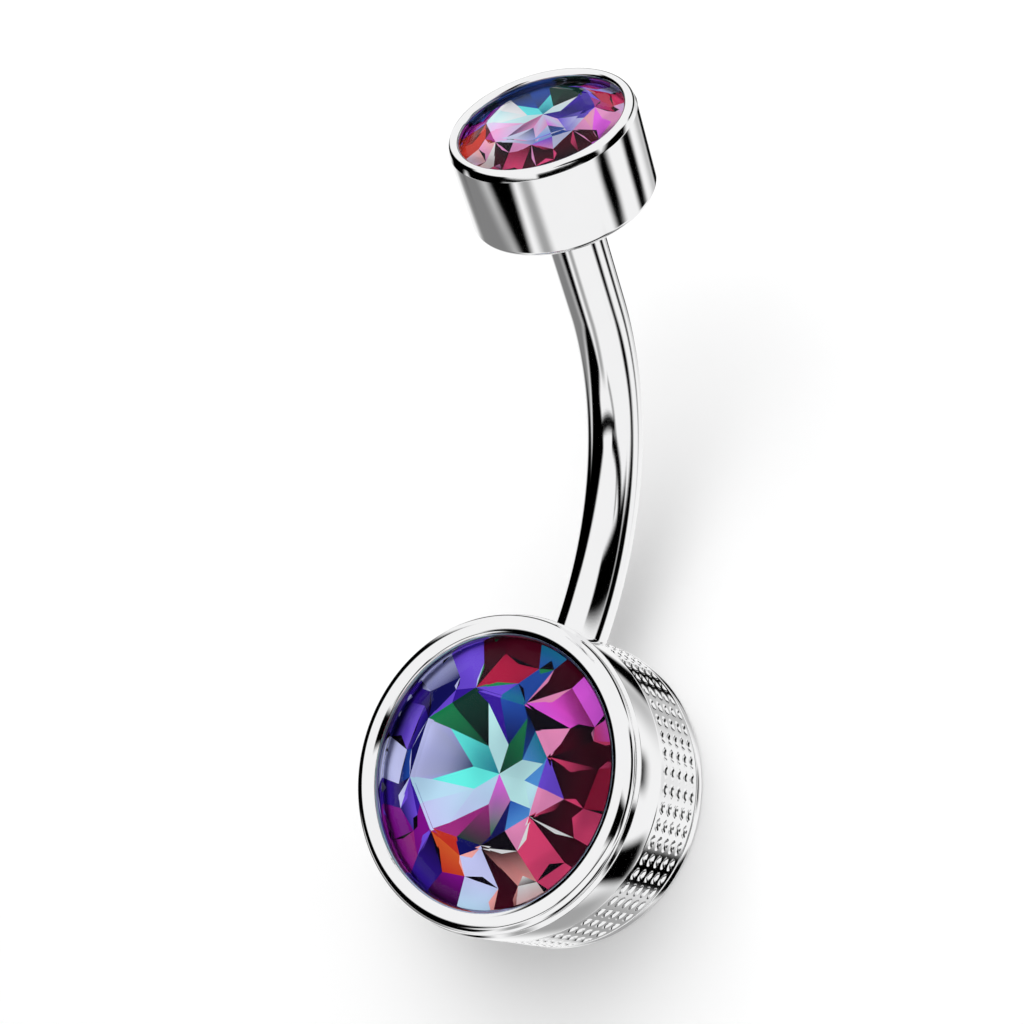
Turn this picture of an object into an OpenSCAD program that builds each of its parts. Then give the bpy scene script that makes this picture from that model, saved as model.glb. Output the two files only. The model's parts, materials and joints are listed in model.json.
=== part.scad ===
// Curved navel barbell with a large stone below and a small screw-on stone above.
// It lies on the flat back of its lower setting, stone up. Millimetres, +Z up.
// The origin is the centre of that back, and the bar leaves the side wall towards +Y.

/* [Stones] */
// Diameter of the lower stone
lower_stone_d = 7.9; // [6:0.1:10]
// Diameter of the top stone
top_stone_d = 4.5; // [3.5:0.1:6]
// Width of the table between two opposite sides, as a share of the stone's diameter
table_share = 0.53; // [0.4:0.01:0.65]
// Height of the crown above the girdle, as a share of the stone's diameter
crown_share = 0.11; // [0.1:0.005:0.18]
// Slope of the eight broad facets underneath
pavilion_angle = 41; // [39:0.5:43]
// Slope of the eight kites that make the star underneath
kite_angle = 35; // [32:0.5:36]
// Diameter of the star's inner corners, as a share of the stone's diameter
star_share = 0.22; // [0.16:0.01:0.28]
// Thickness of the girdle
girdle_t = 0.12; // [0.08:0.01:0.2]

/* [Lower setting] */
// Thickness of the rounded lip
lip_t = 0.69; // [0.5:0.01:0.9]
// How far the lip covers the edge of the stone
lip_cover = 0.145; // [0.1:0.005:0.18]
// How far the lip's outside stands in from the side wall
lip_step = 0.065; // [0.04:0.005:0.08]
// Bevel at the front edge of the side wall
shoulder = 0.1; // [0.09:0.01:0.12]
// Height of the plain band behind the lip
plain_band_h = 1.16; // [0.8:0.02:1.4]
// Height of the plain rim at the back
back_rim_h = 0.39; // [0.25:0.01:0.6]
// Depth of the channel that carries the dimpled band
channel_depth = 0.08; // [0.05:0.01:0.1]
// Metal behind the point of the stone
back_t = 0.4; // [0.3:0.05:0.8]
// Bevel round the back edge
back_bevel = 0.1; // [0.06:0.01:0.14]

/* [Bar] */
// Thickness of the bar, 14 gauge
bar_d = 1.6; // [1.5:0.05:1.7]
// Height of the bar's centre above the back, where it leaves the wall
exit_h = 1.75; // [1.2:0.05:2]
// Angle by which the bar leans to the back where it leaves the wall
exit_lean = 3.6; // [0:0.2:6]
// Radius of the bend, to the bar's centre
bend_r = 9.5; // [8.5:0.1:12]
// Angle that the bar turns through
bend_angle = 61; // [50:1:66]
// Length of the straight end that holds the thread
end_l = 3.53; // [3:0.1:5]
// Diameter of the hole for the threaded post
hole_d = 1.2; // [1.15:0.01:1.25]
// Depth of that hole
hole_depth = 2.3; // [2.2:0.05:2.6]
// Bevel round the bar's end
end_bevel = 0.06; // [0.03:0.01:0.1]

/* [Top setting] */
// Thickness of the cup's rounded rim
rim_t = 0.36; // [0.3:0.01:0.5]
// How far the rim covers the edge of the stone
rim_cover = 0.07; // [0.05:0.005:0.09]
// Metal under the point of the stone
floor_t = 0.25; // [0.2:0.01:0.6]
// Rounding between the cup's wall and its base
base_round = 0.2; // [0.1:0.05:0.7]
// Length of the threaded post
post_l = 2; // [1.6:0.05:2.1]
// Clearance round the thread, on the radius
thread_clearance = 0.03; // [0.02:0.005:0.05]
// Depth of the thread
thread_depth = 0.1; // [0.06:0.01:0.12]
// Pitch of the thread
thread_pitch = 0.25; // [0.2:0.01:0.3]

/* [Fits] */
// Gap between a stone and the metal that holds it
stone_gap = 0.03; // [0.02:0.005:0.05]
// Gap between the cup's base and the bar's end
face_gap = 0.02; // [0.01:0.005:0.04]

/* [Hidden] */

// Facets of one kind round a stone, and half the angle between two of them
sides = 8;
half_step = 180 / sides;
// Flat at the point of a stone, and drop of the corner facets below the table
point_d = 0.08;
corner_drop = 0.03;
// Straight steps in each rounded edge of a profile
arc_steps = 10;
// How far the bar runs into the wall, and how much thinner its straight end is on the radius
root_l = 0.5;
end_relief = 0.005;
// Plain neck between the thread and the cup
neck_l = 0.08;
// Angle past level at which the cup's rim meets the stone's seat
rim_tuck = 30;
// Corners of a full circle
$fn = 96;

// Slopes, and the cone that the underside of a stone just fits
broad_slope = tan(pavilion_angle);
kite_slope = tan(kite_angle);
seat_slope = broad_slope * cos(half_step);

// Sizes of a stone of diameter d, with its girdle's top at height 0
function crown_h(d) = crown_share * d;
function crown_slope(d) = 2 * crown_h(d) / (d - table_share * d);
function cone_tip(d) = -girdle_t - broad_slope * d / 2;
function star_lift(d) = star_share * d / 2 * (broad_slope - kite_slope * cos(half_step));
function point_z(d) = cone_tip(d) + star_lift(d);

// Height of a round lip's centre above the girdle of the stone that it clears by stone_gap
function lip_rise(d, lip_r, lip_mid_r) =
    let (a = atan(crown_slope(d)))
    (lip_r + stone_gap - (lip_mid_r - d / 2) * sin(a)) / cos(a);

// Points along an arc in a profile
function arc(centre, r, from, to) =
    [for (i = [0 : arc_steps]) let (a = from + (to - from) * i / arc_steps)
        [centre.x + r * cos(a), centre.y + r * sin(a)]];

// Lower setting
lower_stone_r = lower_stone_d / 2;
lip_r = lip_t / 2;
lip_mid_r = lower_stone_r - lip_cover + lip_r;
lower_r = lip_mid_r + lip_r + lip_step;
lower_girdle_z = back_t + stone_gap - point_z(lower_stone_d);
lip_z = lower_girdle_z + lip_rise(lower_stone_d, lip_r, lip_mid_r);
wall_h = lip_z - shoulder - sqrt(pow(lip_r, 2) - pow(lower_r - shoulder - lip_mid_r, 2));

// Top setting, in its own frame with the cup's base at height 0
top_stone_r = top_stone_d / 2;
rim_r = rim_t / 2;
rim_mid_r = top_stone_r - rim_cover + rim_r;
top_r = rim_mid_r + rim_r;
top_girdle_z = floor_t + stone_gap - point_z(top_stone_d);
rim_z = top_girdle_z + lip_rise(top_stone_d, rim_r, rim_mid_r);
post_r = hole_d / 2 - thread_clearance;
post_root_r = post_r - thread_depth;
thread_turns = floor((post_l - neck_l) / thread_pitch - 0.5);

// Bend of the bar, in the plane of Y and Z, with angles from +Y towards +Z
bend_y = lower_r + bend_r * sin(exit_lean);
bend_z = exit_h + bend_r * cos(exit_lean);
end_angle = bend_angle - exit_lean;
root_angle = root_l / bend_r * 180 / PI;

// The overlap of four long prisms, which leaves eight facets above the girdle and eight below.
// One of each faces the given azimuth, and those above meet the girdle at height 0.
module facet_ring(d, azimuth, tip_z, slope_below, slope_above) {
    apex_z = slope_above * d / 2;
    edge_r = (apex_z - tip_z) / (slope_above + slope_below);
    edge_z = tip_z + slope_below * edge_r;
    intersection_for(i = [0 : sides / 2 - 1])
        rotate([90, 0, azimuth + 2 * half_step * i]) linear_extrude(2 * d, center = true)
            polygon([[0, tip_z], [edge_r, edge_z], [0, apex_z], [-edge_r, edge_z]]);
}

// A round stone: a table, 8 broad and 8 corner facets on the crown, 8 broad facets and 8 kites below
module stone(d) {
    top_z = crown_h(d);
    bottom_z = point_z(d) + point_d / 2 * kite_slope;
    table_corner_r = table_share * d / 2 / cos(half_step);
    corner_slope = (top_z - corner_drop) / (d / 2 - table_corner_r);
    intersection() {
        translate([0, 0, bottom_z]) cylinder(d = d, h = top_z - bottom_z);
        facet_ring(d, 0, cone_tip(d), broad_slope, crown_slope(d));
        facet_ring(d, half_step, point_z(d), kite_slope, corner_slope);
    }
}

// Half outline of the hollow under a stone of diameter d whose girdle is at height z, from the top down
function seat_outline(d, z, top_z) =
    let (
        r = d / 2 + stone_gap,
        tip = z + cone_tip(d) - stone_gap / cos(atan(seat_slope)),
        floor_z = z + point_z(d) - stone_gap
    )
    [[r, top_z], [r, tip + seat_slope * r], [(floor_z - tip) / seat_slope, floor_z], [0, floor_z]];

// Half outline of the lower setting: back, rim, channel for the dimpled band, plain band, lip, seat
function lower_outline() =
    let (lip_foot = asin((wall_h + shoulder - lip_z) / lip_r))
    concat(
        [[0, 0], [lower_r - back_bevel, 0], [lower_r, back_bevel], [lower_r, back_rim_h]],
        [[lower_r - channel_depth, back_rim_h], [lower_r - channel_depth, wall_h - plain_band_h]],
        [[lower_r, wall_h - plain_band_h], [lower_r, wall_h]],
        arc([lip_mid_r, lip_z], lip_r, lip_foot, 180 - lip_foot),
        seat_outline(lower_stone_d, lower_girdle_z, wall_h + shoulder)
    );

// Places children at the given angle of the bend, with +Z along the bar
module along_bend(angle) {
    translate([0, bend_y + bend_r * sin(angle), bend_z - bend_r * cos(angle)])
        rotate([angle - 90, 0, 0]) children();
}

// The bend, which starts inside the wall, and the straight end, turned a little thinner
module bar() {
    end_r = bar_d / 2 - end_relief;
    translate([0, bend_y, bend_z]) rotate([90, 0, 90]) rotate([0, 0, -90 - exit_lean - root_angle])
        rotate_extrude(angle = bend_angle + root_angle) translate([bend_r, 0]) circle(d = bar_d);
    along_bend(end_angle) rotate_extrude() polygon([
        [0, -end_relief], [end_r, -end_relief], [end_r, end_l - end_bevel], [end_r - end_bevel, end_l], [0, end_l]
    ]);
}

// The lower setting and the bar, soldered into one, with the hole for the post
module barbell() {
    color("silver") difference() {
        union() {
            rotate_extrude() polygon(lower_outline());
            bar();
        }
        along_bend(end_angle) translate([0, 0, end_l - hole_depth])
            cylinder(d = hole_d, h = 2 * hole_depth);
    }
}

module lower_crystal() {
    color("mediumorchid") translate([0, 0, lower_girdle_z]) stone(lower_stone_d);
}

// Half outline of the threaded post, from its tip up to the cup's base
function post_outline() =
    concat(
        [[0, -post_l], [post_root_r - thread_depth, -post_l]],
        [for (i = [thread_turns : -1 : 0]) each [
            [post_root_r, -neck_l - (i + 0.5) * thread_pitch],
            [post_r, -neck_l - i * thread_pitch]
        ]],
        [[post_r, 0]]
    );

// Half outline of the cup: base, wall, rim, seat
function cup_outline() =
    concat(
        arc([top_r - base_round, base_round], base_round, -90, 0),
        arc([rim_mid_r, rim_z], rim_r, 0, 180 + rim_tuck),
        seat_outline(top_stone_d, top_girdle_z, rim_z - rim_r * sin(rim_tuck))
    );

// Places children on the bar's end, with +Z along it
module on_bar_end() {
    along_bend(end_angle) translate([0, 0, end_l + face_gap]) children();
}

module top_setting() {
    color("silver") on_bar_end() rotate_extrude() polygon(concat(post_outline(), cup_outline()));
}

module top_crystal() {
    color("mediumorchid") on_bar_end() translate([0, 0, top_girdle_z]) stone(top_stone_d);
}

barbell();
lower_crystal();
top_setting();
top_crystal();
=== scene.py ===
# %% [markdown]
# A navel ring, dressed in Blender
#
# The real object is a curved steel bar with a cut crystal at each end. The large crystal sits in a
# round steel setting that is soldered to the bar. The small one sits in a cup that screws off.
#
# The solids come from the CAD frame, at their real size. This lesson makes the parts that have to
# look real: mirror-polished steel needs smooth curves where the solids have flat strips, the wall
# has stamped dimples, and the crystals need glass in front of coloured foil.

# %% Load the frame
import json
import math
import random

import bmesh
import bpy
from mathutils import Matrix, Vector


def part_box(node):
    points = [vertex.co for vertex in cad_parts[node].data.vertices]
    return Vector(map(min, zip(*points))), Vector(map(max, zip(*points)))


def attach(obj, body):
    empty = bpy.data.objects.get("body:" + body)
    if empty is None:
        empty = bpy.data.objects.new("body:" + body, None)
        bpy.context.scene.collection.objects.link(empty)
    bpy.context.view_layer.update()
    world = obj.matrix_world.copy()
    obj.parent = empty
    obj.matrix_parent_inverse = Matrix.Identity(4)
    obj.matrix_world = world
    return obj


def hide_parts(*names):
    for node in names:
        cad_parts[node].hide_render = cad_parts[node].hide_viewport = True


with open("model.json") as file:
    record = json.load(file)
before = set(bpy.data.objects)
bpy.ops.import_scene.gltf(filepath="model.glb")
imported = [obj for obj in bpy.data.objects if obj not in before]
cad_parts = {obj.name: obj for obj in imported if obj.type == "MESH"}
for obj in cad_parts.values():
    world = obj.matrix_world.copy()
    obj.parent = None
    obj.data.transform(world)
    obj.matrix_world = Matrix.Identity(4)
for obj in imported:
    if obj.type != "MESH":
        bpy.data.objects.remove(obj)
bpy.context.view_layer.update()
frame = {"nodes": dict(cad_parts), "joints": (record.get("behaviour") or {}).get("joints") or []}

MM = 0.001
scene = bpy.context.scene

# %% [markdown]
# Sizes
#
# These are the same driving sizes that the solids have, in millimetres, with the same names. Each
# piece below is worked out from them, and the frame tells whether they still agree.

# %% The driving sizes
lower_stone_d = 7.9
top_stone_d = 4.5
lip_t = 0.69
lip_cover = 0.145
lip_step = 0.065
shoulder = 0.1
plain_band_h = 1.16
back_rim_h = 0.39
back_bevel = 0.1
bar_d = 1.6
exit_h = 1.75
exit_lean = math.radians(3.6)
bend_r = 9.5
bend_angle = math.radians(61)
end_l = 3.53
hole_d = 1.2
hole_depth = 2.3
end_bevel = 0.06
rim_t = 0.36
rim_cover = 0.07
base_round = 0.2
post_l = 2.0
thread_clearance = 0.03
thread_depth = 0.1
thread_pitch = 0.25
stone_gap = 0.03
face_gap = 0.02
table_share = 0.53
crown_share = 0.11
pavilion_angle = math.radians(41)
girdle_t = 0.12
star_share = 0.22
back_t = 0.4
floor_t = 0.25
root_l = 0.5

# %% What follows from them
lip_r = lip_t / 2
lip_mid_r = lower_stone_d / 2 - lip_cover + lip_r
lower_r = lip_mid_r + lip_r + lip_step
rim_r = rim_t / 2
rim_mid_r = top_stone_d / 2 - rim_cover + rim_r
top_r = rim_mid_r + rim_r
bend_y = lower_r + bend_r * math.sin(exit_lean)
bend_z = exit_h + bend_r * math.cos(exit_lean)
end_angle = bend_angle - exit_lean
wall_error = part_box("barbell")[1].x / MM - lower_r
print("lower setting's radius", round(lower_r, 3), "and the frame's differs by", round(wall_error, 4))


def bend_point(angle, out=0.0):
    """A point in the bend's plane, out from the bar's centre line, in mm."""
    reach = bend_r + out
    return Vector((0, bend_y + reach * math.sin(angle), bend_z - reach * math.cos(angle)))


# The top end's own frame: its base on the bar's end, its Z along the bar
top_z = Vector((0, math.cos(end_angle), math.sin(end_angle)))
top_x = Vector((1, 0, 0))
top_y = top_z.cross(top_x)
top_at = bend_point(end_angle) + top_z * (end_l + face_gap)
TOP = Matrix.Translation(top_at) @ Matrix((top_x, top_y, top_z)).transposed().to_4x4()
LOWER = Matrix.Identity(4)
slide = Vector(frame["joints"][0]["axis"])
print("the top end's axis and the joint's agree to", round((top_z - slide).length, 6))

# %% [markdown]
# The height of each stone in its metal
#
# A stone rests in its seat by its slanted underside, and the lip just clears the slanted crown
# above. The frame holds the stones, so the height of a table is read from it, and the girdle lies
# one crown below.


# %% Read the stones from the frame
def girdle_height(node, stone_d, place):
    """Height of a stone's girdle along its own axis, in mm."""
    back = place.inverted()
    table_z = max((back @ (v.co / MM)).z for v in frame["nodes"][node].data.vertices)
    return table_z - crown_share * stone_d


def lip_rise(stone_d, tube_r, tube_mid_r):
    """How far a lip's centre lies above the girdle of the stone that it just clears."""
    slope = math.atan(2 * crown_share / (1 - table_share))
    reach = (tube_mid_r - stone_d / 2) * math.sin(slope)
    return (tube_r + stone_gap - reach) / math.cos(slope)


lower_girdle_z = girdle_height("lower_crystal", lower_stone_d, LOWER)
top_girdle_z = girdle_height("top_crystal", top_stone_d, TOP)
lip_z = lower_girdle_z + lip_rise(lower_stone_d, lip_r, lip_mid_r)
rim_z = top_girdle_z + lip_rise(top_stone_d, rim_r, rim_mid_r)
wall_h = lip_z - shoulder - math.sqrt(lip_r**2 - (lower_r - shoulder - lip_mid_r) ** 2)
print("girdles at", round(lower_girdle_z, 3), "and", round(top_girdle_z, 3), "mm in their own frames")

# %% [markdown]
# The camera
#
# It stands where the photo was taken from: high over the ring, a little to the side of the large
# stone, and turned so that the bar runs up the picture. Its place, its aim and its lens come first,
# because everything after this is judged through it.

# %% The camera
# The focal length is in pixels of the picture, and the camera's lens is worked out from it
camera_at = Vector((29.702, 1.214, 50.653)) * MM
camera_forward = Vector((-0.55985, 0.10673, -0.82169)).normalized()
picture_up = Vector((-0.19199, 0.94798, 0.25394))
picture_size = 1024
focal_px = 1956.83
sensor = 36.0
nearest_seen = 1.0 * MM

camera_data = bpy.data.cameras.new("camera")
camera_data.sensor_width = sensor
camera_data.lens = focal_px * sensor / picture_size
camera_data.clip_start = nearest_seen
camera = bpy.data.objects.new("camera", camera_data)
scene.collection.objects.link(camera)
picture_right = camera_forward.cross(picture_up).normalized()
axes = Matrix((picture_right, picture_right.cross(camera_forward), -camera_forward)).transposed()
camera.matrix_world = Matrix.Translation(camera_at) @ axes.to_4x4()
scene.camera = camera
looks_down = math.degrees(-math.asin(camera_forward.z))
print("lens", round(camera_data.lens, 1), "mm, looking down by", round(looks_down, 1), "degrees")

# %% [markdown]
# Shader maths that reads as maths
#
# A material is a net of nodes. Wired by hand, a sum of three products takes six nodes and a dozen
# links. This small class wraps one output, so that an ordinary expression adds the Math nodes. One
# method adds any other node: its kind, its settings, and what goes into its sockets.


# %% The wrapper
class Wire:
    """One output in a node tree. Arithmetic on it adds Math nodes."""

    def __init__(self, tree, socket):
        self.tree = tree
        self.socket = socket

    def math(self, operation, *others):
        inputs = dict(enumerate((self, *others)))
        return add_node(self.tree, "ShaderNodeMath", {"operation": operation}, inputs)

    def __add__(self, other):
        return self.math("ADD", other)

    def __sub__(self, other):
        return self.math("SUBTRACT", other)

    def __rsub__(self, other):
        return self.math("MULTIPLY", -1.0) + other

    def __mul__(self, other):
        return self.math("MULTIPLY", other)

    def __truediv__(self, other):
        return self.math("DIVIDE", other)

    __radd__ = __add__
    __rmul__ = __mul__


def pick(sockets, key):
    """A socket by its place, its identifier or its name."""
    if isinstance(key, int):
        return sockets[key]
    named = [s for s in sockets if s.identifier == key] + [s for s in sockets if s.name == key]
    return named[0]


def add_node(tree, kind, settings=None, inputs=None, output=0):
    """Adds a node, makes its settings, fills its sockets, and returns one of its outputs."""
    node = tree.nodes.new(kind)
    for name, value in (settings or {}).items():
        setattr(node, name, value)
    for key, value in (inputs or {}).items():
        socket = pick(node.inputs, key)
        if isinstance(value, Wire):
            tree.links.new(value.socket, socket)
        else:
            socket.default_value = value
    return Wire(tree, pick(node.outputs, output)) if node.outputs else None


def mix_colours(tree, share, a, b):
    inputs = {"Factor_Float": share, "A_Color": a, "B_Color": b}
    return add_node(tree, "ShaderNodeMix", {"data_type": "RGBA"}, inputs, "Result_Color")


def smooth_step(value, low, high):
    """0 where value is at low, 1 at high, with a soft change between."""
    inputs = {"Value": value, "From Min": low, "From Max": high}
    return add_node(value.tree, "ShaderNodeMapRange", {"interpolation_type": "SMOOTHSTEP"}, inputs)


def new_material(name):
    material = bpy.data.materials.new(name)
    material.use_nodes = True
    material.node_tree.nodes.clear()
    return material, material.node_tree


def finish_material(tree, inputs):
    surface = add_node(tree, "ShaderNodeBsdfPrincipled", None, inputs)
    add_node(tree, "ShaderNodeOutputMaterial", None, {"Surface": surface})


# %% [markdown]
# The studio
#
# Polished steel has hardly a colour of its own: it shows the room. Jewellery is lit in a white
# tent, and the crisp black streaks come from dark cards that hang in it. Here the tent is the world
# and each card is a soft-edged rectangle seen in one direction. The floor is left out of what the
# steel mirrors, so the cards show there too, and the camera sees a plain pale ground.

# %% The tent
tent_light = 1.2
ground_seen = (0.97, 0.97, 0.97, 1.0)

world = bpy.data.worlds.new("tent")
scene.world = world
world.use_nodes = True
world.cycles.sampling_method = "NONE"
sky = world.node_tree
sky.nodes.clear()
direction = add_node(sky, "ShaderNodeTexCoord", None, None, "Generated")
print("the tent's light is", tent_light)

# %% One card
# A card darkens only what lies ahead along its own direction, and fades out before its side
ahead_fade = 0.1


def across(vector, axis):
    """How far a vector reaches along an axis."""
    inputs = {0: vector, 1: axis}
    return add_node(vector.tree, "ShaderNodeVectorMath", {"operation": "DOT_PRODUCT"}, inputs, "Value")


def card(azimuth, elevation, half_width, half_height, roll, softness, darkness):
    """What a card takes from the tent's light in each direction. Angles are in degrees."""
    a, e = math.radians(azimuth), math.radians(elevation)
    middle = Vector((math.cos(a) * math.cos(e), math.sin(a) * math.cos(e), math.sin(e)))
    side = Vector((-math.sin(a), math.cos(a), 0.0))
    side.rotate(Matrix.Rotation(math.radians(roll), 3, middle))
    ahead = across(direction, middle)
    covered = smooth_step(ahead, 0.0, ahead_fade) * darkness
    soft = math.radians(softness)
    for axis, half in ((side, half_width), (middle.cross(side), half_height)):
        angle = across(direction, axis).math("ABSOLUTE").math("ARCTAN2", ahead)
        half = math.radians(half)
        covered = covered * (1 - smooth_step(angle, half - soft, half + soft))
    return covered


# %% Hang the cards
# The columns are azimuth, elevation, half width, half height, roll, softness, darkness
cards = {
    "behind_the_camera": (-6, 27, 11, 31, 0, 4, 1.0),
    "left": (178, 7, 22, 31, 0, 4, 1.0),
    "left_front": (-134, 12, 33, 15, -15, 4, 1.0),
    "left_high": (-142, 32, 27, 13, 0, 4, 1.0),
    "front_line": (-50, 26, 24, 3, 21, 2.5, 0.6),
    "front_arc": (-96, 32, 36, 3, 0, 2, 1.0),
    "front_fall": (-36, 25, 27, 4, -25, 2.5, 1.0),
    "lip_right": (18, -19, 26, 13, 0, 4, 1.0),
    "lip_low": (-52, -37, 19, 11, 0, 4, 1.0),
    "lip_far": (104, -35, 42, 11, 0, 4, 1.0),
    "cup_right": (-11, -31, 6, 7, 0, 4, 1.0),
    "cup_far_right": (30, -53, 7, 7, 0, 4, 1.0),
    "band_bottom": (-38, -61, 8.5, 9, 0, 3, 1.0),
    "band_top": (118, -60, 7, 8, 0, 3, 1.0),
    "cup_under": (-72, -47, 20, 4, 15, 3, 1.0),
    "grey_left": (-148, -21, 28, 15, 0, 8, 0.76),
    "grey_streak": (-88, 2, 6, 15, 0, 5, 0.6),
    "grey_far": (88, -60, 8, 10, 0, 8, 0.45),
    "grey_bottom": (-97, -60, 15, 10, 0, 8, 0.6),
}
light = 1.0
for values in cards.values():
    light = (1 - card(*values)) * light
seen = add_node(sky, "ShaderNodeLightPath", None, None, "Is Camera Ray")
tent = add_node(sky, "ShaderNodeBackground", None, {"Strength": light * tent_light})
ground = add_node(sky, "ShaderNodeBackground", None, {"Color": ground_seen})
shown = add_node(sky, "ShaderNodeMixShader", None, {0: seen, 1: tent, 2: ground})
add_node(sky, "ShaderNodeOutputWorld", None, {"Surface": shown})
print(len(cards), "dark cards hang in the tent")

# %% [markdown]
# The floor and the lamp
#
# The ring lies on pale paper, and a broad lamp hangs over it for a soft shadow. Steel and glass see
# neither of them: the paper would hide the cards that hang below it, and the lamp would show as a
# white square.

# %% The floor
floor_half = 400.0
floor_drop = 0.01
paper_cloud = 30.0
paper_dark = (0.95, 0.95, 0.95, 1.0)
paper_light = (0.97, 0.97, 0.97, 1.0)

floor_mesh = bpy.data.meshes.new("floor")
directions = ((-1, -1), (1, -1), (1, 1), (-1, 1))
corners = [Vector((x * floor_half, y * floor_half, -floor_drop)) * MM for x, y in directions]
floor_mesh.from_pydata(corners, [], [(0, 1, 2, 3)])
floor = bpy.data.objects.new("floor", floor_mesh)
scene.collection.objects.link(floor)
floor.visible_glossy = False
floor.visible_transmission = False
paper, tree = new_material("pale_paper")
place = add_node(tree, "ShaderNodeTexCoord", None, None, "Object")
cloud = add_node(tree, "ShaderNodeTexNoise", None, {"Vector": place, "Scale": paper_cloud}, "Fac")
paper_colour = mix_colours(tree, cloud, paper_dark, paper_light)
finish_material(tree, {"Base Color": paper_colour, "Roughness": 0.6})
floor_mesh.materials.append(paper)
print("the floor lies", floor_drop, "mm under the ring")

# %% The overhead lamp
lamp_watts = 0.075
lamp_side = 120.0
lamp_at = Vector((-15, 60, 100)) * MM
lamp_aim = Vector((0, 5, 0)) * MM

lamp_data = bpy.data.lights.new("overhead", "AREA")
lamp_data.energy = lamp_watts
lamp_data.size = lamp_side * MM
lamp = bpy.data.objects.new("overhead", lamp_data)
lamp.location = lamp_at
lamp.rotation_euler = (lamp_aim - lamp.location).to_track_quat("-Z", "Y").to_euler()
lamp.visible_glossy = False
lamp.visible_transmission = False
scene.collection.objects.link(lamp)
scene.view_settings.view_transform = "Standard"
scene.cycles.use_denoising = True
print("the lamp hangs", round((lamp_at - lamp_aim).length / MM), "mm away")

# %% [markdown]
# Turned parts
#
# The setting, the cup and its post are turned on a lathe, so each is one outline spun round an
# axis. Spinning it in fine steps and shading it smooth gives the clean reflections that a polished
# ring has. Corners that the polishing wheel softens get a small round first.


# %% Outlines
# Edges that turn by more than the crisp angle stay sharp. A point nearer the axis than the next
# length closes the shape there, and a small curve eats less than half of each side of its corner.
crisp = math.radians(32)
on_axis = 1e-6
most_of_side = 0.45


def arc(centre, radius, start, end, steps=14):
    """Points along an arc in an outline; angles in degrees from outwards towards up."""
    turns = [math.radians(start + (end - start) * i / steps) for i in range(steps + 1)]
    return [(centre[0] + radius * math.cos(t), centre[1] + radius * math.sin(t)) for t in turns]


def rounded(outline, radius, steps=4):
    """The outline with each corner between two straight runs softened by a small curve."""
    points = [Vector(p) for p in outline]
    soft = [points[0]]
    for before, corner, after in zip(points, points[1:], points[2:]):
        back, ahead = before - corner, after - corner
        cut = min(radius, back.length * most_of_side, ahead.length * most_of_side)
        if back.angle(-ahead) < crisp / 2 or corner.x < on_axis:
            soft.append(corner)
            continue
        start, end = corner + back.normalized() * cut, corner + ahead.normalized() * cut
        for t in (i / steps for i in range(steps + 1)):
            soft.append(start * (1 - t) ** 2 + corner * 2 * t * (1 - t) + end * t**2)
    return [tuple(p) for p in soft + [points[-1]]]


# %% The lathe
turn_steps = 240


def spin(mesh, outline, place):
    """Adds the solid that an outline makes when it turns round its own Z. Lengths in mm."""
    rings = []
    for radius, height in outline:
        if radius < on_axis:
            rings.append([mesh.verts.new(place @ Vector((0, 0, height)) * MM)])
            continue
        turns = [math.tau * i / turn_steps for i in range(turn_steps)]
        points = [Vector((radius * math.cos(t), radius * math.sin(t), height)) for t in turns]
        rings.append([mesh.verts.new(place @ p * MM) for p in points])
    for low, high in zip(rings, rings[1:]):
        join_rings(mesh, low, high)


def join_rings(mesh, low, high):
    """Faces between two closed rings, or between a ring and a single point."""
    count = max(len(low), len(high))
    for i in range(count):
        j = (i + 1) % count
        if len(low) == 1:
            mesh.faces.new((low[0], high[j], high[i]))
        elif len(high) == 1:
            mesh.faces.new((low[i], low[j], high[0]))
        else:
            mesh.faces.new((low[i], low[j], high[j], high[i]))


# %% From a shape to a finished piece
weld = 1e-5 * MM


def finished(name, bm, *materials):
    """An object at the origin that holds the shape. Says how many faces and whether it is closed."""
    mesh = bpy.data.meshes.new(name)
    closed = all(e.is_manifold for e in bm.edges)
    bm.to_mesh(mesh)
    bm.free()
    for material in materials:
        mesh.materials.append(material)
    made = bpy.data.objects.new(name, mesh)
    scene.collection.objects.link(made)
    print(name, len(mesh.polygons), "faces,", "closed" if closed else "open")
    return made


def polished_piece(name, bm, material):
    """A piece whose faces look outwards, smooth but for its crisp edges."""
    bmesh.ops.remove_doubles(bm, verts=bm.verts, dist=weld)
    bmesh.ops.recalc_face_normals(bm, faces=bm.faces)
    made = finished(name, bm, material)
    made.data.shade_smooth()
    made.data.set_sharp_from_angle(angle=crisp)
    return made


# %% [markdown]
# Polished steel
#
# Surgical steel is polished to a mirror. What keeps it from looking like plastic chrome is small: a
# breath of unevenness in the gloss, and the finest wheel marks, which only a highlight shows.


# %% The steel
breath_scale = 900.0
marks_scale = 14000.0
breath_share = 0.6
marks_share = 0.4
darker = 0.97
mark_height = 0.01
mark_strength = 0.02


def noise(tree, place, scale, detail):
    inputs = {"Vector": place, "Scale": scale, "Detail": detail}
    return add_node(tree, "ShaderNodeTexNoise", None, inputs, "Fac")


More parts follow.
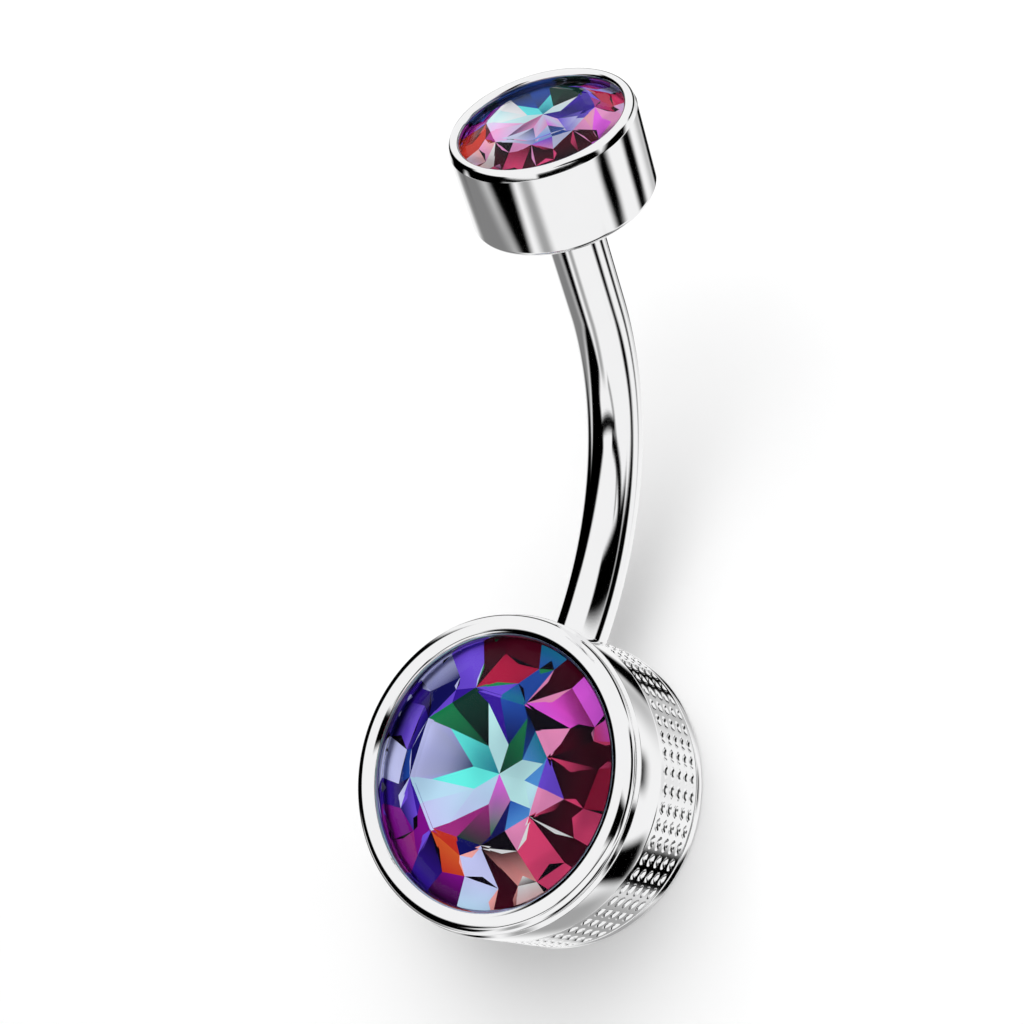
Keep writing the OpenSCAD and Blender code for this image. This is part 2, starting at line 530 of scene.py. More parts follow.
def steel(name, tint, least_rough, uneven_rough, dent_rough=None):
    """Steel with a tint, its least roughness, and what its unevenness and a dent add to that."""
    material, tree = new_material(name)
    place = add_node(tree, "ShaderNodeTexCoord", None, None, "Object")
    breath = noise(tree, place, breath_scale, detail=3.0)
    marks = noise(tree, place, marks_scale, detail=4.0)
    colour = mix_colours(tree, breath, [c * darker for c in tint] + [1.0], list(tint) + [1.0])
    roughness = least_rough + (breath * breath_share + marks * marks_share) * uneven_rough
    if dent_rough is not None:
        inputs = {"Vector": place}
        x, y = (add_node(tree, "ShaderNodeSeparateXYZ", None, inputs, axis) for axis in "XY")
        out = (x * x + y * y).math("SQRT")
        depth = 1 - smooth_step(out, (band_r - dimple_depth) * MM, band_r * MM)
        roughness = roughness + depth * dent_rough
    bump = {"Height": marks, "Strength": mark_strength, "Distance": mark_height * MM}
    normal = add_node(tree, "ShaderNodeBump", None, bump)
    inputs = {"Base Color": colour, "Metallic": 1.0, "Roughness": roughness, "Normal": normal}
    finish_material(tree, inputs)
    return material


steel_tint = (0.93, 0.93, 0.935)
polished = steel("polished_steel", steel_tint, least_rough=0.03, uneven_rough=0.05)
print("the steel has", len(polished.node_tree.nodes), "nodes")

# %% [markdown]
# The lower setting
#
# It was turned from bar stock: a flat back, a rim, a shallow channel for the dimpled strip, a plain
# band, and the rounded lip that holds the stone. The bar is a second shell that starts inside the
# wall, as a soldered bar does. Both shells stand for one node.

# %% The hollow under a stone
half_facet = math.pi / 8
seat_slope = math.tan(pavilion_angle) * math.cos(half_facet)


def seat(stone_d, girdle_z, top_z, floor_z):
    """The hollow under a stone, from the top down to its middle."""
    radius = stone_d / 2 + stone_gap
    tip_z = girdle_z - girdle_t - math.tan(pavilion_angle) * stone_d / 2
    tip_z -= stone_gap * math.hypot(1, seat_slope)
    shelf_z = tip_z + seat_slope * radius
    floor_r = (floor_z - tip_z) / seat_slope
    return [(radius, top_z), (radius, shelf_z), (floor_r, floor_z), (0, floor_z)]


# %% Turn the lower setting
# The channel is cut a little deeper than the solid's, to take the strip with its dents
channel_cut = 0.12
channel_floor_r = lower_r - channel_cut
edge_round = 0.025
lip_foot = math.degrees(math.asin((wall_h + shoulder - lip_z) / lip_r))
back = [(0, 0), (lower_r - back_bevel, 0), (lower_r, back_bevel), (lower_r, back_rim_h)]
channel = [(channel_floor_r, back_rim_h), (channel_floor_r, wall_h - plain_band_h)]
band = [(lower_r, wall_h - plain_band_h), (lower_r, wall_h)]
lip = arc((lip_mid_r, lip_z), lip_r, lip_foot, 180 - lip_foot, steps=28)
hollow = seat(lower_stone_d, lower_girdle_z, wall_h + shoulder, back_t)
setting = bmesh.new()
spin(setting, rounded(back + channel + band + lip + hollow, edge_round), LOWER)
lower_setting = polished_piece("lower_setting", setting, polished)

# %% [markdown]
# The bar
#
# A straight rod was bent round a former and drilled at its free end. So its mesh is a row of rings
# along the bend, then along the straight end, over the edge, and down the hole.

# %% Bend the bar
ring_steps = 96
bend_steps = 72
root_angle = root_l / bend_r
mouth_bevel = 0.05


def bar_ring(mesh, angle, along, radius):
    """A ring of the bar at an angle of the bend, or along its straight end; one point at radius 0."""
    out = Vector((0, math.sin(angle), -math.cos(angle)))
    ahead = Vector((0, math.cos(angle), math.sin(angle)))
    centre = bend_point(angle) + ahead * along
    if radius == 0:
        return [mesh.verts.new(centre * MM)]
    turns = [math.tau * i / ring_steps for i in range(ring_steps)]
    spokes = [top_x * math.cos(t) + out * math.sin(t) for t in turns]
    return [mesh.verts.new((centre + spoke * radius) * MM) for spoke in spokes]


bar_mesh = bmesh.new()
first = -exit_lean - root_angle
bends = [first + (end_angle - first) * i / bend_steps for i in range(bend_steps + 1)]
rings = [bar_ring(bar_mesh, first, 0, 0)] + [bar_ring(bar_mesh, a, 0, bar_d / 2) for a in bends]
straight_end = [
    (end_l / 2, bar_d / 2),
    (end_l - end_bevel, bar_d / 2),
    (end_l, bar_d / 2 - end_bevel),
    (end_l, hole_d / 2 + mouth_bevel),
    (end_l - mouth_bevel, hole_d / 2),
    (end_l - hole_depth, hole_d / 2),
    (end_l - hole_depth, 0),
]
rings += [bar_ring(bar_mesh, end_angle, along, radius) for along, radius in straight_end]
for low, high in zip(rings, rings[1:]):
    join_rings(bar_mesh, low, high)
bar = polished_piece("bar", bar_mesh, polished)

# %% [markdown]
# The screw-on cup
#
# The cup is turned like the setting. Its rim isn't a plain round: a short cone leads up to it from
# the wall, and mirrors the dark of the tent as one bold line under the rim. The post carries a real
# helical thread, which shows when the end is unscrewed. Its radius rises and falls with the height
# and the turn together.

# %% Turn the cup
flank_lean = 17
flank_h = 0.14
flank_drop = 0.06
rim_round = 0.15
rim_tuck = 25
leaning = math.radians(flank_lean)
foot = Vector((top_r, rim_z - flank_drop))
flank = foot + Vector((-math.sin(leaning), math.cos(leaning))) * flank_h
rim_centre = flank - Vector((math.cos(leaning), math.sin(leaning))) * rim_round

cup = bmesh.new()
base = arc((top_r - base_round, base_round), base_round, -90, 0, steps=16)
rim = [tuple(foot)] + arc(rim_centre, rim_round, flank_lean, 180 + rim_tuck, steps=24)
hollow = seat(top_stone_d, top_girdle_z, rim_z - rim_r / 2, floor_t)
spin(cup, rounded([(0, 0)] + base + rim + hollow, edge_round / 2), TOP)
print("the cup's cone rises", round(flank.y - foot.y, 3), "mm to its rim")

# %% Cut the thread on its post
post_r = hole_d / 2 - thread_clearance
post_steps = 40
rows_per_turn = 16
post_inside = 0.2
thread_fade = 0.25


def thread_radius(turn, height):
    """Radius of the thread at a share of a full turn and a height below the cup."""
    phase = (height / thread_pitch - turn) % 1.0
    ridge = 1 - abs(2 * phase - 1)
    below = post_l + height
    taper = min(1.0, below / thread_fade)
    neck = max(0.0, min(1.0, (-height - thread_fade / 2) / thread_fade))
    root = post_r - thread_depth
    return (root - thread_depth * (1 - taper)) + thread_depth * ridge * taper * neck


rows = int(post_l / thread_pitch * rows_per_turn)
heights = [-post_l + (post_l + post_inside) * i / rows for i in range(rows + 1)]
post_rings = [[cup.verts.new(TOP @ Vector((0, 0, heights[0])) * MM)]]
for height in heights:
    turns = [i / post_steps for i in range(post_steps)]
    points = [(thread_radius(t, height), math.tau * t) for t in turns]
    places = [Vector((r * math.cos(t), r * math.sin(t), height)) for r, t in points]
    post_rings.append([cup.verts.new(TOP @ p * MM) for p in places])
post_rings.append([cup.verts.new(TOP @ Vector((0, 0, heights[-1])) * MM)])
for low, high in zip(post_rings, post_rings[1:]):
    join_rings(cup, low, high)
top_setting = polished_piece("top_cup", cup, polished)

# %% [markdown]
# The dimpled strip
#
# Five rows of small oval dents run round the wall. The real strip is rolled with a patterned wheel,
# so one dent is made once and repeated. Geometry Nodes do this: a tile with one dent, five tiles
# side by side, bent to the wall's radius, and that short strip set down all the way round.

# %% One tile with one dent
dent_columns = 5
column_pitch = 0.415
row_pitch_wanted = 0.49
dent_round = 0.2
dent_across = 0.15
dimple_depth = 0.068
band_sink = 0.01
band_r = lower_r - band_sink
dent_rows = round(math.tau * band_r / row_pitch_wanted)
row_pitch = math.tau * band_r / dent_rows
tile_corners = 16
middle_of_side = 1e-6
# Rings of one dent, from inside to out: the share of its size, and the share of its depth
bowl = [(0.55, 0.72), (1.0, 0.0), (1.08, 0.0)]

tile_mesh = bmesh.new()


def tile_edge(index):
    """A point on the tile's edge, four steps to a side, from the middle of the right side."""
    turn = math.tau * index / tile_corners
    x, y = math.cos(turn), math.sin(turn)
    reach = max(abs(x), abs(y))
    side_step = math.tan(turn) if abs(x) >= abs(y) else 1 / math.tan(turn)
    even = round(side_step * 2) / 2 / side_step if abs(side_step) > middle_of_side else 1
    x, y = x / reach, y / reach
    if abs(x) >= abs(y):
        y *= even
    else:
        x *= even
    return Vector((x * row_pitch / 2, y * column_pitch / 2, 0)) * MM


loops = [[tile_mesh.verts.new(Vector((0, 0, -dimple_depth)) * MM)]]
for size, depth in bowl:
    turns = [math.tau * i / tile_corners for i in range(tile_corners)]
    ovals = [(math.cos(t) * dent_round * size, math.sin(t) * dent_across * size) for t in turns]
    places = [Vector((x, y, -depth * dimple_depth)) for x, y in ovals]
    loops.append([tile_mesh.verts.new(p * MM) for p in places])
loops.append([tile_mesh.verts.new(tile_edge(i)) for i in range(tile_corners)])
for inner, outer in zip(loops, loops[1:]):
    join_rings(tile_mesh, outer, inner)
for face in tile_mesh.faces:
    face.normal_update()
    if face.normal.z < 0:
        face.normal_flip()
tile = bpy.data.meshes.new("dent_tile")
tile_mesh.to_mesh(tile)
tile_mesh.free()
tile_object = bpy.data.objects.new("dent_tile", tile)
print("one tile has", len(tile.polygons), "faces;", dent_columns, "by", dent_rows, "tiles go round")

# %% The inputs of the strip's node tree
dimpled = steel("dimpled_steel", steel_tint, least_rough=0.04, uneven_rough=0.06, dent_rough=0.12)
strip = bpy.data.node_groups.new("dimpled_strip", "GeometryNodeTree")
sizes = {
    "Tile": ("NodeSocketObject", tile_object),
    "Columns": ("NodeSocketInt", dent_columns),
    "Rows": ("NodeSocketInt", dent_rows),
    "Column Pitch": ("NodeSocketFloat", column_pitch * MM),
    "Row Pitch": ("NodeSocketFloat", row_pitch * MM),
    "Radius": ("NodeSocketFloat", band_r * MM),
    "Middle Height": ("NodeSocketFloat", (back_rim_h + wall_h - plain_band_h) / 2 * MM),
    "Material": ("NodeSocketMaterial", dimpled),
}
for name, (kind, _) in sizes.items():
    strip.interface.new_socket(name, in_out="INPUT", socket_type=kind)
strip.interface.new_socket("Geometry", in_out="OUTPUT", socket_type="NodeSocketGeometry")
given_node = strip.nodes.new("NodeGroupInput")
given = {name: Wire(strip, pick(given_node.outputs, name)) for name in sizes}
print("the tree takes", ", ".join(sizes))

# %% A strip of tiles, bent and set down all round


def geometry(kind, settings=None, inputs=None, output=0):
    return add_node(strip, kind, settings, inputs, output)


def vector_of(x, y, z):
    return geometry("ShaderNodeCombineXYZ", None, {"X": x, "Y": y, "Z": z})


one_tile = geometry("GeometryNodeObjectInfo", None, {"Object": given["Tile"]}, "Geometry")
span = given["Column Pitch"] * (given["Columns"] - 1.0)
start = vector_of(0.0, span * -0.5, 0.0)
to_next = vector_of(0.0, given["Column Pitch"], 0.0)
column_spots = {"Count": given["Columns"], "Start Location": start, "Offset": to_next}
line = geometry("GeometryNodeMeshLine", None, column_spots)
row = geometry("GeometryNodeInstanceOnPoints", None, {"Points": line, "Instance": one_tile})
row = geometry("GeometryNodeRealizeInstances", None, {"Geometry": row})
spot = geometry("GeometryNodeInputPosition")
x, y, z = (geometry("ShaderNodeSeparateXYZ", None, {"Vector": spot}, axis) for axis in "XYZ")
turn = x / given["Row Pitch"] * math.tau / given["Rows"]
reach = given["Radius"] + z
bent = vector_of(reach * turn.math("COSINE"), reach * turn.math("SINE"), y + given["Middle Height"])
row = geometry("GeometryNodeSetPosition", None, {"Geometry": row, "Position": bent})
spots = geometry("GeometryNodePoints", None, {"Count": given["Rows"]})
index = geometry("GeometryNodeInputIndex")
facing = vector_of(0.0, 0.0, index * math.tau / given["Rows"])
around = {"Points": spots, "Instance": row, "Rotation": facing}
ring = geometry("GeometryNodeInstanceOnPoints", None, around)
ring = geometry("GeometryNodeRealizeInstances", None, {"Geometry": ring})
ring = geometry("GeometryNodeSetMaterial", None, {"Geometry": ring, "Material": given["Material"]})
ending = strip.nodes.new("NodeGroupOutput")
strip.links.new(ring.socket, ending.inputs[0])
print("the tree has", len(strip.nodes), "nodes")

# %% Run the tree and keep its mesh
holder = bpy.data.objects.new("strip_maker", bpy.data.meshes.new("strip_maker"))
scene.collection.objects.link(holder)
modifier = holder.modifiers.new("dimpled_strip", "NODES")
modifier.node_group = strip
for item in strip.interface.items_tree:
    if item.in_out == "INPUT":
        modifier[item.identifier] = sizes[item.name][1]
evaluated = holder.evaluated_get(bpy.context.evaluated_depsgraph_get())
flat_ring = bpy.data.meshes.new_from_object(evaluated)
holder.modifiers.remove(modifier)
bpy.data.objects.remove(holder)
print("the open sleeve has", len(flat_ring.polygons), "faces")

# %% [markdown]
# Close the strip
#
# The repeated tiles are an open sleeve. A margin on both sides and an inner wall make it a solid
# ring, so it can be printed or weighed like any other piece.

# %% Margins and an inner wall
strip_gap = 0.03
floor_gap = 0.01
seam = 0.001
inner_r = channel_floor_r + floor_gap
low_z = back_rim_h + strip_gap
high_z = wall_h - plain_band_h - strip_gap
sleeve = bmesh.new()
sleeve.from_mesh(flat_ring)
# The tree left the steel in a second slot, and the finished strip has only the first
for face in sleeve.faces:
    face.material_index = 0
bmesh.ops.remove_doubles(sleeve, verts=sleeve.verts, dist=seam * MM)
middle_z = (low_z + high_z) / 2
edge_verts = [v for v in sleeve.verts if any(e.is_boundary for e in v.link_edges)]


def edge_ring(side):
    """The sleeve's open edge on one side, -1 below or 1 above, in order round the wall."""
    verts = [v for v in edge_verts if (v.co.z / MM - middle_z) * side > 0]
    return sorted(verts, key=lambda v: math.atan2(v.co.y, v.co.x))


def ring_like(verts, radius, height):
    """A new ring at another radius and height, with a point beside each of the given ones."""
    angles = [math.atan2(v.co.y, v.co.x) for v in verts]
    places = [Vector((radius * math.cos(a), radius * math.sin(a), height)) for a in angles]
    return [sleeve.verts.new(p * MM) for p in places]


low, high = edge_ring(-1), edge_ring(1)
path = [
    low,
    ring_like(low, band_r, low_z + edge_round),
    ring_like(low, band_r - edge_round, low_z),
    ring_like(low, inner_r, low_z),
    ring_like(low, inner_r, high_z),
    ring_like(low, band_r - edge_round, high_z),
    ring_like(low, band_r, high_z - edge_round),
    high,
]
for one, other in zip(path, path[1:]):
    join_rings(sleeve, one, other)
dimpled_band = polished_piece("dimpled_band", sleeve, dimpled)

# %% [markdown]
# The crystals
#
# A cut crystal of this kind is clear glass over a foil that shifts from ice blue over violet to
# crimson. Through the flat table one sees a star of eight kites round the point, and through the
# crown the outer chips of the same foil, with thin bright or black splinters between them.
#
# Real crystal glass bends light strongly, over a pointed underside. Tried here, a stronger bend gave
# haze and a domed foil gave bright arcs, and both hid the pattern. So the glass, which is the solid's
# own crown, bends light only a little, and the foil is a shallow mosaic just under the girdle. The
# solid keeps its point.
#
# Every facet of foil gets its own tint, partly the foil's colour and partly painted reflection.
# So first come the tints, each with a name.

# %% The foil's tints by name
tints = {
    "black": (0.003, 0.002, 0.005),
    "maroon": (0.06, 0.002, 0.01),
    "crimson": (0.36, 0.01, 0.045),
    "rose": (0.72, 0.055, 0.16),
    "pink": (0.9, 0.24, 0.45),
    "orchid": (0.95, 0.1, 0.83),
    "plum": (0.28, 0.02, 0.17),
    "purple": (0.17, 0.005, 0.2),
    "red": (0.42, 0.025, 0.015),
    "orange": (0.5, 0.08, 0.02),
    "salmon": (0.85, 0.31, 0.29),
    "cream": (0.95, 0.76, 0.72),
    "lavender": (0.46, 0.48, 0.88),
    "violet": (0.13, 0.06, 0.56),
    "indigo": (0.035, 0.01, 0.28),
    "navy": (0.006, 0.006, 0.09),
    "royal": (0.016, 0.07, 0.36),
    "sky": (0.07, 0.25, 0.6),
    "pale": (0.4, 0.6, 0.98),
    "ice": (0.45, 0.76, 0.95),
    "frost": (0.7, 0.78, 1.0),
    "aqua": (0.11, 0.78, 0.66),
    "teal": (0.012, 0.17, 0.25),
    "slate": (0.03, 0.05, 0.12),
    "forest": (0.006, 0.035, 0.025),
    "green": (0.012, 0.2, 0.07),
}
print(len(tints), "tints")

# %% [markdown]
# A plan for each stone
#
# The foil shifts its colour with the angle it is seen from, and the two stones are seen from
# different sides. So each has a plan of its own, which paints the reflections as that stone is seen.
# There is one row for each eighth of the stone, counter-clockwise. A single word is one tint, and a
# pair of words runs from the inside outwards.

# %% Which facet has which tint
# The columns are the kite on the row's far side, two halves of the broad facet beside it, two small
# chips at the table's edge, two chips under the crown, two at the rim, the wedge after them, and a
# splinter.
# Black wedges and black splinters are painted shade, and coloured splinters are painted glints
lower_foil = [
    ("ice", "ice pale", "sky", "pink", "violet", "black maroon", "black maroon", "rose", "crimson",
     "black maroon", "rose"),
    ("forest green", "sky teal", "royal black", "pink", "black", "maroon black", "orchid plum",
     "rose orchid", "orchid", "black maroon", "pink"),
    ("ice", "navy royal", "indigo", "teal royal", "violet", "royal", "crimson", "royal teal", "maroon",
     "black maroon", "green"),
    ("teal aqua", "black forest", "forest green", "indigo", "violet", "violet", "navy", "violet",
     "navy lavender", "black indigo", "lavender"),
    ("aqua", "slate lavender", "slate lavender", "navy", "navy", "navy indigo", "royal navy",
     "violet navy", "lavender", "black indigo", "lavender"),
    ("pale lavender", "pale", "pale lavender", "indigo", "purple", "violet navy", "purple", "purple",
     "plum purple", "black indigo", "violet"),
    ("orchid green", "plum", "plum forest", "red", "navy", "orange red", "lavender", "purple black",
     "lavender pale", "black maroon", "salmon"),
    ("ice", "navy", "royal sky", "black", "pink", "black salmon", "rose", "cream salmon", "rose",
     "black maroon", "cream"),
]
top_foil = [
    ("orchid lavender", "lavender sky", "slate royal", "violet pink", "lavender", "black maroon",
     "maroon black", "maroon", "black maroon", "black maroon", "rose"),
    ("indigo navy", "violet lavender", "slate violet", "pink", "salmon pink", "black maroon",
     "orchid", "orchid", "pink", "pink", "pink"),
    ("ice frost", "navy indigo", "indigo", "plum", "violet", "plum crimson", "crimson",
     "pink lavender", "crimson rose", "violet lavender", "maroon"),
    ("teal aqua", "black forest", "forest", "violet", "black", "violet crimson", "forest black",
     "crimson violet", "forest black", "black forest", "lavender"),
    ("aqua", "slate royal", "royal slate", "slate royal", "slate royal", "slate royal", "slate royal",
     "slate royal", "slate royal", "slate forest", "royal"),
    ("ice pale", "frost", "frost pale", "indigo", "purple", "purple", "plum purple", "royal slate",
     "plum purple", "black red", "violet"),
    ("pink slate", "pink lavender", "lavender pink", "maroon", "plum", "red", "salmon pink", "red",
     "salmon lavender", "cream salmon", "black red"),
    ("pink lavender", "lavender", "slate lavender", "black", "pink", "black maroon", "maroon rose",
     "rose", "maroon", "black maroon", "pink"),
]
print("each stone has", 10 * len(lower_foil), "facets of foil, besides the splinters")

# %% The glass
glass_index = 1.15
glass_cloud = 300.0
glass_cool = (0.97, 0.98, 1.0, 1.0)
white = (1.0, 1.0, 1.0, 1.0)

clear, tree = new_material("crystal_glass")
place = add_node(tree, "ShaderNodeTexCoord", None, None, "Object")
cloud = add_node(tree, "ShaderNodeTexNoise", None, {"Vector": place, "Scale": glass_cloud}, "Fac")
glass = {"Base Color": mix_colours(tree, cloud, glass_cool, white), "IOR": glass_index}
finish_material(tree, glass | {"Transmission Weight": 1.0, "Roughness": 0.0})
print("the glass has an index of", glass_index)

# %% The foil
# A thin film dims the foil in soft clouds. The roughness keeps it from mirroring the dark cards.
film_scale = 500.0
film_dull = (0.74, 0.74, 0.78, 1.0)
film_low, film_high = 0.35, 0.65
foil_roughness = 0.3

foil, tree = new_material("crystal_foil")
# The tint of each facet is partly the foil's colour and partly painted reflection
tint = add_node(tree, "ShaderNodeAttribute", {"attribute_name": "foil_tint_and_reflection"}, None, "Color")
place = add_node(tree, "ShaderNodeTexCoord", None, None, "Object")
film = noise(tree, place, film_scale, detail=1.0)
dimmer = mix_colours(tree, smooth_step(film, film_low, film_high), film_dull, white)
blend = {"data_type": "RGBA", "blend_type": "MULTIPLY"}
inputs = {"Factor_Float": 1.0, "A_Color": tint, "B_Color": dimmer}
tinted = add_node(tree, "ShaderNodeMix", blend, inputs, "Result_Color")
finish_material(tree, {"Base Color": tinted, "Metallic": 1.0, "Roughness": foil_roughness})
print("the foil's roughness is", foil_roughness)


# %% Paint one facet
def foil_colour(words, outwards, shade):
    """The tint that a word or a pair of words gives, at a share of the way outwards."""
    names = words.split()
    inner, outer = Vector(tints[names[0]]), Vector(tints[names[-1]])
    return (*[min(1.0, c * shade) for c in inner.lerp(outer, outwards)], 1.0)


def paint_facet(bm, verts, words, shade):
    """One facet of foil, tinted from its innermost corner to its outermost."""
    face = bm.faces.new(verts)
    face.material_index = 1
    reach = [math.hypot(v.co.x, v.co.y) for v in verts]
    paint = bm.loops.layers.float_color["foil_tint_and_reflection"]
    for loop, out in zip(face.loops, reach):
        share = (out - min(reach)) / (max(reach) - min(reach))
        loop[paint] = foil_colour(words, share, shade)


# %% Split thin splinters of painted glint and shade off a facet
splinter_along = (0.3, 0.7)
splinter_inwards = (0.15, 0.5)


def splintered_facet(bm, verts, words, splinters, shade, chance):
    """A facet with two thin splinters of other tints along its edges: painted glints and shade."""
    count = len(verts)
    centre = sum((v.co for v in verts), Vector()) / count
    first = chance.randrange(count)
    edges = {first: splinters[0], (first + count // 2) % count: splinters[1]}
    outline = []
    for i, vert in enumerate(verts):
        outline.append(vert)
        if i in edges:
            after = verts[(i + 1) % count]
            middle = vert.co.lerp(after.co, chance.uniform(*splinter_along))
            apex = bm.verts.new(middle.lerp(centre, chance.uniform(*splinter_inwards)))
            paint_facet(bm, [vert, after, apex], edges[i], shade)
            outline.append(apex)
    paint_facet(bm, outline, words, shade)


# %% The glass crown, from the solid
# Corners nearer than the first length are one, and faces within the angle are one facet
crown_weld = 0.0001
one_facet = math.radians(0.5)
cut_slack = 1e-5


def crown_of(node, place, foil_z):
    """The part of a solid stone above its foil, in its own frame and in mm."""
    bm = bmesh.new()
    bm.from_mesh(frame["nodes"][node].data)
    bm.transform(Matrix.Scale(1 / MM, 4))
    bm.transform(place.inverted())
    bmesh.ops.remove_doubles(bm, verts=bm.verts, dist=crown_weld)
    bmesh.ops.dissolve_limit(bm, angle_limit=one_facet, verts=bm.verts, edges=bm.edges)
    everything = bm.verts[:] + bm.edges[:] + bm.faces[:]
    cut = {"plane_co": (0, 0, foil_z), "plane_no": (0, 0, 1), "clear_inner": True}
    bmesh.ops.bisect_plane(bm, geom=everything, dist=cut_slack, **cut)
    bm.loops.layers.float_color.new("foil_tint_and_reflection")
    return bm


# %% [markdown]
# Set out the foil
#
# The foil's corners are given by an angle and a share of the stone's radius. Drawn exactly even they
# look like a diagram, so most are moved a little by chance, from a fixed seed that gives the same
# stone each time. The plan can be turned, its point shifted aside, and its table's ring shifted and
# spread, because each stone is seen from another side.

# %% A corner of the foil
foil_seed = 11
widest = 0.95
uneven = (0.85, 1.15)


class FoilPlan:
    """Sets out one stone's foil. Angles are in degrees, places in shares of the stone's radius."""

    def __init__(self, bm, stone_d, foil_z, look):
        self.bm = bm
        self.stone_d = stone_d
        self.foil_z = foil_z
        self.look = look
        self.chance = random.Random(foil_seed)
        edge = [v for v in bm.verts if any(e.is_boundary for e in v.link_edges)]
        self.rim = sorted(edge, key=self.azimuth)

    def spot(self, angle, share, jitter=0.0):
        """A place, moved by up to the jitter in degrees and in hundredths of its share."""
        angle = math.radians(angle + self.chance.uniform(-jitter, jitter))
        share *= 1 + self.chance.uniform(-jitter, jitter) / 100
        return Vector((share * math.cos(angle), share * math.sin(angle)))

    def beyond(self, angle, share, inner, jitter):
        """A place at a share of the radius, or further out where the table comes close."""
        return self.spot(angle, min(widest, max(share, (1 + inner.length) / 2)), jitter)

    def corner(self, spot):
        """A corner of the foil at a place, with its height."""
        out = min(1.0, spot.length)
        spot = Matrix.Rotation(math.radians(self.look["turned"]), 2) @ spot
        spot += Vector(self.look["culet_aside"]) * (1 - out)
        sunk = self.look["foil_depth"] * (1 - out) * self.chance.uniform(*uneven)
        return self.bm.verts.new((*(spot * self.stone_d / 2), self.foil_z - sunk))

    def azimuth(self, vert):
        return (math.degrees(math.atan2(vert.co.y, vert.co.x)) - self.look["turned"]) % 360

    def nearest(self, angle):
        """Which point of the glass's rim lies nearest to an azimuth."""
        away = [abs((self.azimuth(v) - angle + 180) % 360 - 180) for v in self.rim]
        return away.index(min(away))

    def rim_from(self, start, end):
        """The rim's points between two azimuths, ends included."""
        first, last = self.nearest(start), self.nearest(end)
        count = len(self.rim)
        return [self.rim[(first + i) % count] for i in range((last - first) % count + 1)]


# %% All corners of the foil
# Shares are of the stone's radius, and angles in degrees. A kite's tip lies inside the table's
# corner, by more where that corner is further out.
eighths = range(8)
step = 45
table_ring = 0.56
knee_share, near_share, far_share = 0.78, 0.82, 0.8
wedge_near, wedge_far = 17, 28
tip_share, tip_less = 1.12, 0.5
mid_along = (0.35, 0.6)


def foil_corners(plan):
    """Each kind of corner, as a list of eight round the stone."""
    ring = table_ring * plan.look["spread"]
    aside = Vector(plan.look["table_aside"])
    table = [plan.spot(step * k + step / 2, ring) + aside for k in eighths]
    sides = [(table[k - 1] + table[k]) / 2 for k in eighths]
    reach = [t.length * (tip_share - tip_less * t.length) for t in table]
    lean = [math.degrees(math.atan2(t.y, t.x)) - step * k - step / 2 for k, t in enumerate(table)]
    lean = [(angle + 180) % 360 - 180 for angle in lean]
    tip_at = [step * k + step / 2 + lean[k] / 2 for k in eighths]
    at = {"point": plan.corner(Vector((0, 0)))}
    at["star"] = [plan.corner(plan.spot(step * k, star_share, jitter=3)) for k in eighths]
    at["tip"] = [plan.corner(plan.spot(tip_at[k], reach[k], jitter=2)) for k in eighths]
    knees = [plan.beyond(step * k, knee_share, sides[k], jitter=7) for k in eighths]
    along = plan.chance.uniform
    at["mid"] = [plan.corner(sides[k].lerp(knees[k], along(*mid_along))) for k in eighths]
    near = [plan.beyond(step * k + wedge_near, near_share, table[k], jitter=5) for k in eighths]
    far = [plan.beyond(step * k + wedge_far, far_share, table[k], jitter=5) for k in eighths]
    places = {"table": table, "side": sides, "knee": knees, "near": near, "far": far}
    return at | {kind: [plan.corner(spot) for spot in spots] for kind, spots in places.items()}


# %% The facets of one eighth
def facets_inside(at, k):
    """The five facets seen through the table: kite, two halves of the broad facet, two chips."""
    star, tip, table, side, mid = (at[kind] for kind in ("star", "tip", "table", "side", "mid"))
    return [
        [at["point"], star[k], tip[k], star[(k + 1) % len(eighths)]],
        [star[k], tip[k - 1], table[k - 1], side[k]],
        [star[k], side[k], table[k], tip[k]],
        [table[k - 1], mid[k], side[k]],
        [side[k], mid[k], table[k]],
    ]


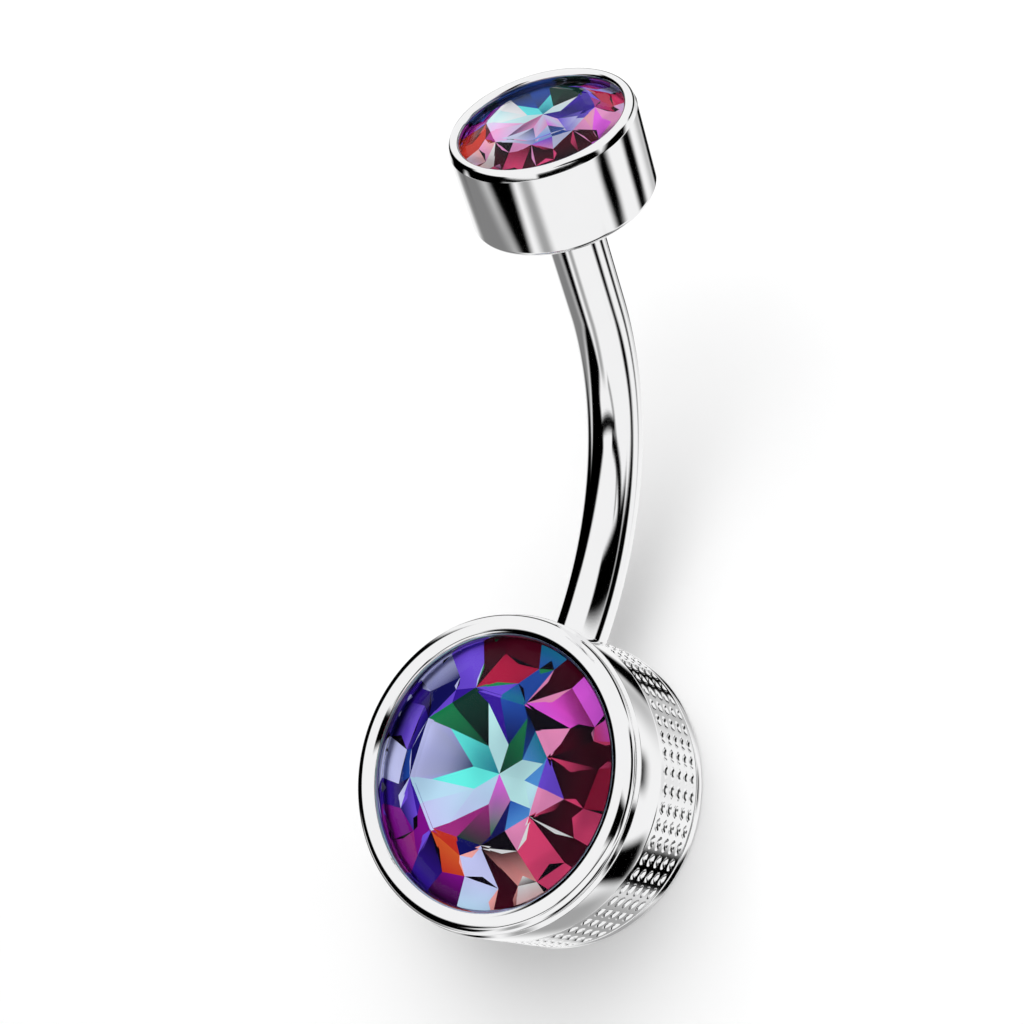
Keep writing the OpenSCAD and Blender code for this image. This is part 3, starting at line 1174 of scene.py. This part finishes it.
def facets_outside(at, k, rim_from):
    """The five facets seen through the crown: two under it, two at the rim, and the wedge."""
    table, mid, knee, near, far = (at[kind] for kind in ("table", "mid", "knee", "near", "far"))
    middle, start, end = step * k, step * k + wedge_near, step * k + wedge_far
    return [
        [table[k - 1], far[k - 1], knee[k], mid[k]],
        [mid[k], knee[k], near[k], table[k]],
        [knee[k], far[k - 1]] + rim_from(middle - wedge_near, middle),
        [knee[k]] + rim_from(middle, start) + [near[k]],
        [table[k], near[k]] + rim_from(start, end) + [far[k]],
    ]


# %% Cut the crystals
foil_below = 0.8


def crystal(name, node, stone_d, girdle_z, place, tint_rows, look):
    """The solid's glass crown, closed below by tinted facets of foil."""
    foil_z = girdle_z - girdle_t * foil_below
    bm = crown_of(node, place, foil_z)
    plan = FoilPlan(bm, stone_d, foil_z, look)
    at = foil_corners(plan)
    for k, (*words, splinter) in enumerate(tint_rows):
        inside, outside = facets_inside(at, k), facets_outside(at, k, plan.rim_from)
        for verts, word in zip(inside, words):
            paint_facet(bm, verts, word, look["shade"])
        for verts, word in zip(outside, words[len(inside) :]):
            # Each outer facet gets a painted glint, plus painted shade or a glint that fades to black
            pair = (splinter, splinter + " black") if "black" in word else ("black", splinter)
            splintered_facet(bm, verts, word, pair, look["shade"], plan.chance)
    bmesh.ops.recalc_face_normals(bm, faces=bm.faces)
    bm.transform(place)
    bm.transform(Matrix.Scale(MM, 4))
    for face in bm.faces:
        face.smooth = False
    return finished(name, bm, clear, foil)


# The foil's depth is in mm, the turn in degrees, and the shifts are shares of the stone's radius.
# The shade brightens the stone's tints and painted reflections.
lower_look = {
    "foil_depth": 0.15,
    "turned": 0,
    "culet_aside": (0, 0),
    "table_aside": (-0.17, 0),
    "spread": 1.0,
    "shade": 1.35,
}
top_look = {
    "foil_depth": 0.03,
    "turned": -45,
    "culet_aside": (-0.15, 0.25),
    "table_aside": (-0.207, 0.016),
    "spread": 1.12,
    "shade": 1.6,
}
lower_stone = (lower_stone_d, lower_girdle_z, LOWER, lower_foil, lower_look)
top_stone = (top_stone_d, top_girdle_z, TOP, top_foil, top_look)
lower_gem = crystal("lower_cut_crystal", "lower_crystal", *lower_stone)
top_gem = crystal("top_cut_crystal", "top_crystal", *top_stone)

# %% [markdown]
# Hand the pieces to the frame
#
# Each piece says which body it moves with and which solid it stands for.

# %% Ride and replace
for part in (lower_setting, bar, dimpled_band):
    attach(part, "lower_end")
    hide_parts("barbell")
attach(lower_gem, "lower_end")
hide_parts("lower_crystal")
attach(top_setting, "top_end")
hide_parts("top_setting")
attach(top_gem, "top_end")
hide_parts("top_crystal")
